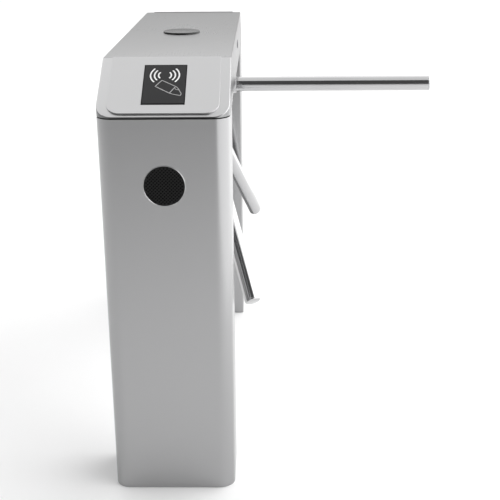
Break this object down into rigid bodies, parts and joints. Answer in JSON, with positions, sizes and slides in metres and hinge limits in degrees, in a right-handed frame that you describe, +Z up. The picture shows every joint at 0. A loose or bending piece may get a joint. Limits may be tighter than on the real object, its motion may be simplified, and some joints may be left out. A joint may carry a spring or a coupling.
{
  "type": "tripod turnstile with passage counter",
  "caption": "Stainless bridge cabinet on two legs with sloping card-reader panels, round indicator lights and a rotor of tubular arms on its slanted side.",
  "frame": {"origin": "on the floor, under the middle of the whole object's bounding box, cabinet and horizontal arm together", "axes": "+Z up, +X from the cabinet towards the walkway, +Y along the cabinet from the front end to the rear end"},
  "size_m": [0.7934, 1.201, 0.984],
  "materials": {
    "brushed_steel": "satin-brushed stainless sheet",
    "polished_tube": "polished stainless tube",
    "cast_aluminium": "blasted casting",
    "zinc_steel": "zinc-plated",
    "hard_steel": "machined and oiled steel",
    "brass": "machined",
    "black_acrylic": "dark glossy panel",
    "smoked_lens": "smoked diffuser",
    "black_plastic": "moulded, matte",
    "board_green": "solder mask",
    "rubber": "matte"
  },
  "bodies": {
    "cabinet": {"front_leg": "brushed_steel", "rear_leg": "brushed_steel", "bridge_trough": "brushed_steel", "front_base_plate": "zinc_steel", "rear_base_plate": "zinc_steel", "front_door_hinge": "zinc_steel", "rear_door_hinge": "zinc_steel", "lid_hinge_base": "zinc_steel", "lid_catch": "zinc_steel", "lid_rest_strip": "rubber", "front_indicator_lens": "black_acrylic", "rear_indicator_lens": "black_acrylic", "front_indicator_housing": "black_plastic", "rear_indicator_housing": "black_plastic", "mechanism_frame": "zinc_steel", "upper_plate": "zinc_steel", "bearing_housing": "cast_aluminium", "inner_bearing": "hard_steel", "outer_bearing": "hard_steel", "centring_spring": "hard_steel", "upper_solenoid": "black_plastic", "lower_solenoid": "black_plastic", "damper_body": "black_plastic", "index_sensor": "black_plastic", "board_carrier": "black_plastic", "control_board": "board_green", "passage_counter": "black_plastic", "power_supply": "zinc_steel"},
    "lid": {"lid_shell": "brushed_steel", "front_reader_plate": "brushed_steel", "rear_reader_plate": "brushed_steel", "front_reader_window": "black_acrylic", "rear_reader_window": "black_acrylic", "front_card_reader": "black_plastic", "rear_card_reader": "black_plastic", "top_indicator_lens": "smoked_lens", "top_indicator_housing": "black_plastic", "lid_hinge_leaf": "zinc_steel", "lid_lock_barrel": "zinc_steel"},
    "lid_lock": {"lid_lock_plug": "brass"},
    "front_door": {"front_leg_door": "brushed_steel"},
    "front_latch": {"front_door_latch": "zinc_steel"},
    "rear_door": {"rear_leg_door": "brushed_steel"},
    "rear_latch": {"rear_door_latch": "zinc_steel"},
    "rotor": {"rotor_hub": "cast_aluminium", "hub_nose_cap": "polished_tube", "arm_1": "polished_tube", "arm_2": "polished_tube", "arm_3": "polished_tube", "main_shaft": "hard_steel", "lock_wheel": "hard_steel", "rotor_gear": "hard_steel", "encoder_disc": "black_plastic"},
    "centring_crank": {"crank_gear": "hard_steel"},
    "damper_rotor": {"damper_pinion": "hard_steel"},
    "upper_pawl_body": {"upper_pawl": "hard_steel"},
    "lower_pawl_body": {"lower_pawl": "hard_steel"},
    "upper_plunger_body": {"upper_plunger": "zinc_steel"},
    "lower_plunger_body": {"lower_plunger": "zinc_steel"}
  },
  "joints": [
    {"name": "lid_hinge", "type": "hinge", "parent": "cabinet", "child": "lid", "pos_m": [-0.39271, 0, 0.87825], "axis": [0, -1, 0], "range_deg": [0, 80]},
    {"name": "lid_lock_turn", "type": "hinge", "parent": "lid", "child": "lid_lock", "pos_m": [-0.10821, 0.053, 0.9388], "axis": [1, 0, 0], "range_deg": [0, 90]},
    {"name": "front_door_swing", "type": "hinge", "parent": "cabinet", "child": "front_door", "pos_m": [-0.34246, -0.4395, 0.38], "axis": [0, 0, 1], "range_deg": [0, 100]},
    {"name": "front_latch_turn", "type": "hinge", "parent": "front_door", "child": "front_latch", "pos_m": [-0.17071, -0.444, 0.38], "axis": [0, -1, 0], "range_deg": [0, 90]},
    {"name": "rear_door_swing", "type": "hinge", "parent": "cabinet", "child": "rear_door", "pos_m": [-0.34246, 0.4395, 0.38], "axis": [0, 0, -1], "range_deg": [0, 100]},
    {"name": "rear_latch_turn", "type": "hinge", "parent": "rear_door", "child": "rear_latch", "pos_m": [-0.17071, 0.444, 0.38], "axis": [0, -1, 0], "range_deg": [0, 90]},
    {"name": "rotor_spin", "type": "hinge", "parent": "cabinet", "child": "rotor", "pos_m": [-0.18175, 0, 0.80346], "axis": [0.7071, 0, -0.7071], "continuous": true},
    {"name": "crank_spin", "type": "hinge", "parent": "cabinet", "child": "centring_crank", "pos_m": [-0.18175, 0.08, 0.80346], "axis": [0.7071, 0, -0.7071], "continuous": true, "deforming": ["centring_spring"]},
    {"name": "damper_spin", "type": "hinge", "parent": "cabinet", "child": "damper_rotor", "pos_m": [-0.18175, -0.075, 0.80346], "axis": [0.7071, 0, -0.7071], "continuous": true},
    {"name": "upper_pawl_swing", "type": "hinge", "parent": "cabinet", "child": "upper_pawl_body", "pos_m": [-0.13367, -0.04, 0.85154], "axis": [-0.7071, 0, 0.7071], "range_deg": [0, 11], "stiffness_Nm_per_rad": 0.4, "springref_deg": -22.92},
    {"name": "upper_plunger_slide", "type": "slide", "parent": "cabinet", "child": "upper_plunger_body", "axis": [0, 1, 0], "range_m": [0, 0.00573]},
    {"name": "lower_pawl_swing", "type": "hinge", "parent": "cabinet", "child": "lower_pawl_body", "pos_m": [-0.22983, -0.04, 0.75538], "axis": [0.7071, 0, -0.7071], "range_deg": [0, 11], "stiffness_Nm_per_rad": 0.4, "springref_deg": -22.92},
    {"name": "lower_plunger_slide", "type": "slide", "parent": "cabinet", "child": "lower_plunger_body", "axis": [0, 1, 0], "range_m": [0, 0.00573]}
  ],
  "couplings": [
    {"joint": "crank_spin", "follows": "rotor_spin", "ratio": -3},
    {"joint": "damper_spin", "follows": "rotor_spin", "ratio": -4},
    {"joint": "upper_plunger_slide", "follows": "upper_pawl_swing", "m_per_rad": 0.0298},
    {"joint": "lower_plunger_slide", "follows": "lower_pawl_swing", "m_per_rad": 0.0298}
  ]
}
